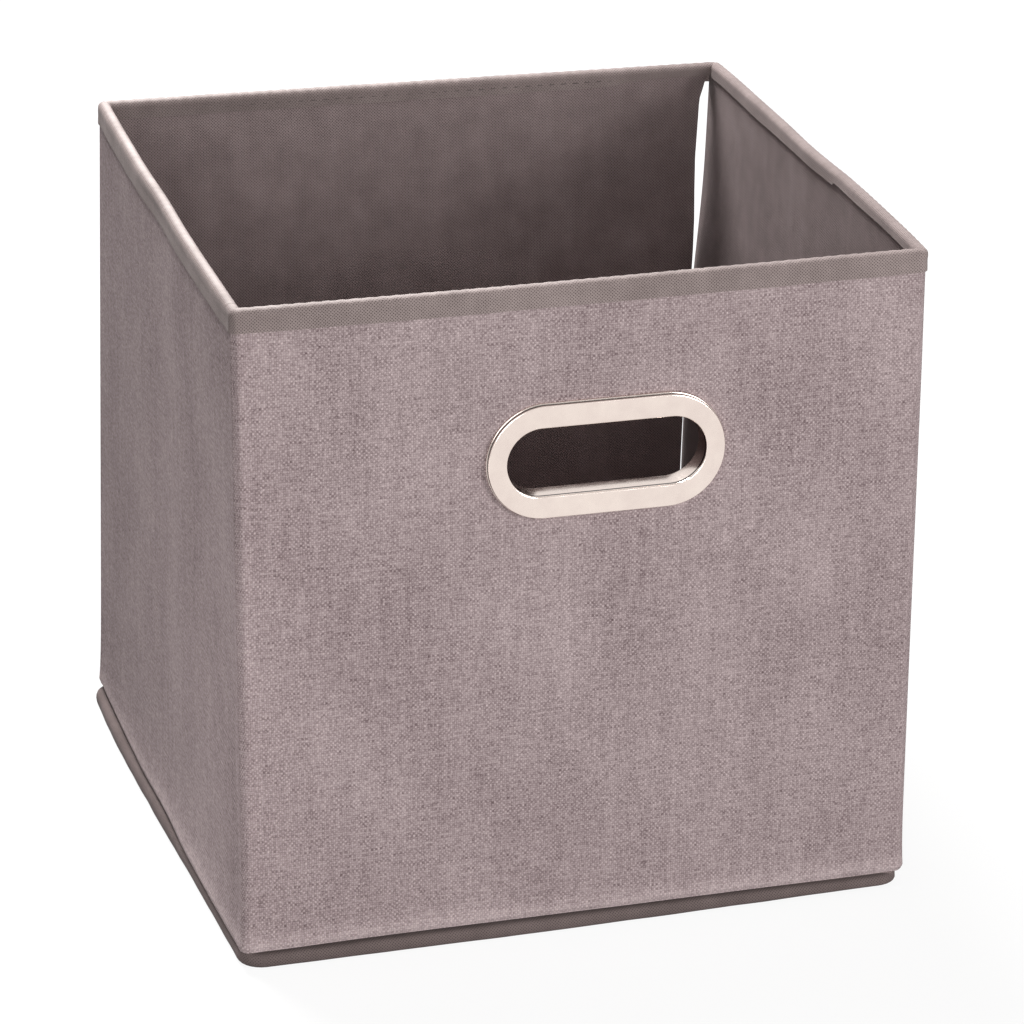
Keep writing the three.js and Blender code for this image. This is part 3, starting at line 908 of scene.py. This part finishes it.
# ---------------------------------------------------------------- metal eyelet
def straight_half(radius):
    """Straight half-length of the ring's outline at a radius between the opening and the outer edge."""
    inner = OPENING_HALF_LENGTH - OPENING_HALF_HEIGHT
    outer = RING_HALF_LENGTH - RING_HALF_HEIGHT
    share = (radius - OPENING_HALF_HEIGHT) / (RING_HALF_HEIGHT - OPENING_HALF_HEIGHT)
    return inner + (outer - inner) * share


def swept_ring(name, profile, material):
    """A closed solid swept round the hand slot from (radius, y) points."""
    steps, straight_steps = 44, 10
    rows = []
    for radius, y in profile:
        half = straight_half(radius)
        row = []
        for side in (1, -1):
            for k in range(steps + 1):
                angle = side * math.pi / 2 - math.pi * k / steps
                row.append((side * half + radius * math.cos(angle), radius * math.sin(angle)))
            for k in range(1, straight_steps):
                share = k / straight_steps
                row.append((side * half * (1 - 2 * share), -side * radius))
        rows.append([(RING_CENTRE.x + x, y, RING_CENTRE.z + z) for x, z in row])
    around = len(rows[0])
    points = np.array(rows).reshape(-1, 3)
    faces = []
    for i in range(len(rows)):
        for k in range(around):
            j, m = (i + 1) % len(rows), (k + 1) % around
            faces.append((i * around + k, i * around + m, j * around + m, j * around + k))
    return make_object(name, points, faces, None, [material])


def rounded(radius, y, size, start, steps=8):
    return [(radius + size * math.cos(start + math.pi / 2 * k / steps),
             y + size * math.sin(start + math.pi / 2 * k / steps)) for k in range(steps + 1)]


def build_eyelet():
    face, back = RING_FRONT, RING_HIGH.y
    inner, outer = OPENING_HALF_HEIGHT, RING_HALF_HEIGHT + 0.4 * MM
    bead = outer + 0.5 * MM
    edge, lip = 0.7 * MM, 0.8 * MM
    flange_back = CLOTH_FRONT + 0.6 * MM
    neck = inner + NECK_THICKNESS
    curl = neck + 2.6 * MM
    curl_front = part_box("handle_washer")[1].y + 0.3 * MM
    profile = [
        *rounded(inner + lip, face + lip, lip, math.pi),
        (inner + 3.2 * MM, face),
        (outer - 4.5 * MM, face + 0.05 * MM),
        *rounded(outer - edge, face + edge + 0.15 * MM, edge, -math.pi / 2),
        (outer - 0.5 * MM, GROOVE_Y - 0.3 * MM),
        (outer - 0.5 * MM, GROOVE_Y + 0.3 * MM),
        *rounded(bead - 0.4 * MM, GROOVE_Y + 1.0 * MM, 0.4 * MM, -math.pi / 2, 4),
        (bead, flange_back),
        (neck, flange_back),
        (neck, curl_front),
        (curl - 0.4 * MM, curl_front),
        *rounded(curl - 0.6 * MM, back - 0.6 * MM, 0.6 * MM, 0.0, 4),
        *rounded(inner + 0.7 * MM, back - 0.7 * MM, 0.7 * MM, math.pi / 2, 4),
    ]
    ring = swept_ring("eyelet_ring", profile, NICKEL)
    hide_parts("handle_eyelet")
    low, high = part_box("handle_washer")
    hole = HOLE_RADIUS
    rim = (high.z - low.z) / 2
    washer_profile = [
        (hole, low.y + 0.1 * MM),
        (rim - 0.3 * MM, low.y),
        *rounded(rim - 0.6 * MM, high.y - 0.6 * MM, 0.6 * MM, 0.0, 4),
        (hole, high.y),
    ]
    washer = swept_ring("eyelet_washer", washer_profile, NICKEL)
    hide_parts("handle_washer")
    for thing in (ring, washer):
        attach(thing, "front_and_base")


# ---------------------------------------------------------------- camera, light and stage
def add_camera():
    azimuth, elevation, roll = (math.radians(a) for a in (-16.08, 21.81, 0.435))
    distance, focal_share = 2.153, 4.468
    sideways, upwards = -0.01158, 0.0111
    back = Vector((math.sin(azimuth) * math.cos(elevation), -math.cos(azimuth) * math.cos(elevation),
                   math.sin(elevation)))
    level = Vector((math.cos(azimuth), math.sin(azimuth), 0))
    upright = back.cross(level)
    right = math.cos(roll) * level + math.sin(roll) * upright
    up = math.cos(roll) * upright - math.sin(roll) * level
    data = bpy.data.cameras.new("camera")
    data.sensor_width = 36
    data.lens = 36 * focal_share
    camera = bpy.data.objects.new("camera", data)
    bpy.context.scene.collection.objects.link(camera)
    place_at = Vector((0, 0, HEIGHT / 2)) + back * distance - right * sideways - up * upwards
    rotation = Matrix((right, up, back)).transposed().to_4x4()
    camera.matrix_world = Matrix.Translation(place_at) @ rotation
    data.clip_start, data.clip_end = 0.05, 50
    bpy.context.scene.camera = camera


def add_area_light(name, size, power, position, target):
    data = bpy.data.lights.new(name, "AREA")
    data.shape = "SQUARE"
    data.size = size
    data.energy = power
    lamp = bpy.data.objects.new(name, data)
    bpy.context.scene.collection.objects.link(lamp)
    lamp.location = position
    lamp.rotation_mode = "QUATERNION"
    lamp.rotation_quaternion = (Vector(target) - Vector(position)).to_track_quat("-Z", "Y")


def add_world():
    world = bpy.data.worlds.new("studio")
    bpy.context.scene.world = world
    world.use_nodes = True
    tree = world.node_tree
    background = tree.nodes["Background"]
    path = tree.nodes.new("ShaderNodeLightPath")
    seen = tree.nodes.new("ShaderNodeMath")
    seen.operation = "MAXIMUM"
    tree.links.new(path.outputs["Is Camera Ray"], seen.inputs[0])
    tree.links.new(path.outputs["Is Glossy Ray"], seen.inputs[1])
    seen_all = tree.nodes.new("ShaderNodeMath")
    seen_all.operation = "MAXIMUM"
    tree.links.new(seen.outputs[0], seen_all.inputs[0])
    tree.links.new(path.outputs["Is Transmission Ray"], seen_all.inputs[1])
    strength = tree.nodes.new("ShaderNodeMapRange")
    strength.inputs["To Min"].default_value = 0.22
    strength.inputs["To Max"].default_value = 1.0
    tree.links.new(seen_all.outputs[0], strength.inputs["Value"])
    tree.links.new(strength.outputs[0], background.inputs["Strength"])
    background.inputs["Color"].default_value = (1, 1, 1, 1)


def add_floor():
    """A white floor that reads as plain white, yet keeps a soft shadow under the bin."""
    size = 30
    corners = [(-size, -size, 0), (size, -size, 0), (size, size, 0), (-size, size, 0)]
    points = [(x, y, -0.0003) for x, y, _ in corners]
    floor = make_object("floor", points, [(0, 1, 2, 3)])
    material = bpy.data.materials.new("floor_white")
    material.use_nodes = True
    tree = material.node_tree
    tree.nodes.clear()
    output = tree.nodes.new("ShaderNodeOutputMaterial")
    add = tree.nodes.new("ShaderNodeAddShader")
    diffuse = tree.nodes.new("ShaderNodeBsdfDiffuse")
    diffuse.inputs["Color"].default_value = (0.11, 0.109, 0.108, 1)
    glow = tree.nodes.new("ShaderNodeEmission")
    path = tree.nodes.new("ShaderNodeLightPath")
    seen = tree.nodes.new("ShaderNodeMath")
    seen.operation = "MAXIMUM"
    tree.links.new(path.outputs["Is Camera Ray"], seen.inputs[0])
    tree.links.new(path.outputs["Is Glossy Ray"], seen.inputs[1])
    strength = tree.nodes.new("ShaderNodeMath")
    strength.operation = "MULTIPLY"
    strength.inputs[1].default_value = 0.9
    tree.links.new(seen.outputs[0], strength.inputs[0])
    tree.links.new(strength.outputs[0], glow.inputs["Strength"])
    tree.links.new(diffuse.outputs[0], add.inputs[0])
    tree.links.new(glow.outputs[0], add.inputs[1])
    tree.links.new(add.outputs[0], output.inputs["Surface"])
    floor.data.materials.append(material)


def set_view():
    view = bpy.context.scene.view_settings
    view.view_transform = "Standard"


add_camera()
add_world()
add_floor()
add_area_light("key_left", 1.0, 21, (-0.6, -2.3, 0.65), (0, 0, 0.2))
add_area_light("key_right", 1.0, 36, (1.4, -2.1, 0.85), (0, 0, 0.2))
add_area_light("overhead", 0.9, 92, (-0.28, 1.1, 2.1), (0, 0, 0.2))
add_area_light("low_left", 0.26, 0.22, (-0.36, -0.16, 0.05), (-0.15, -0.14, 0.06))
build_walls()
build_tape()
build_stitches()
build_base_seam()
build_base_cloth()
build_insert()
build_eyelet()
set_view()
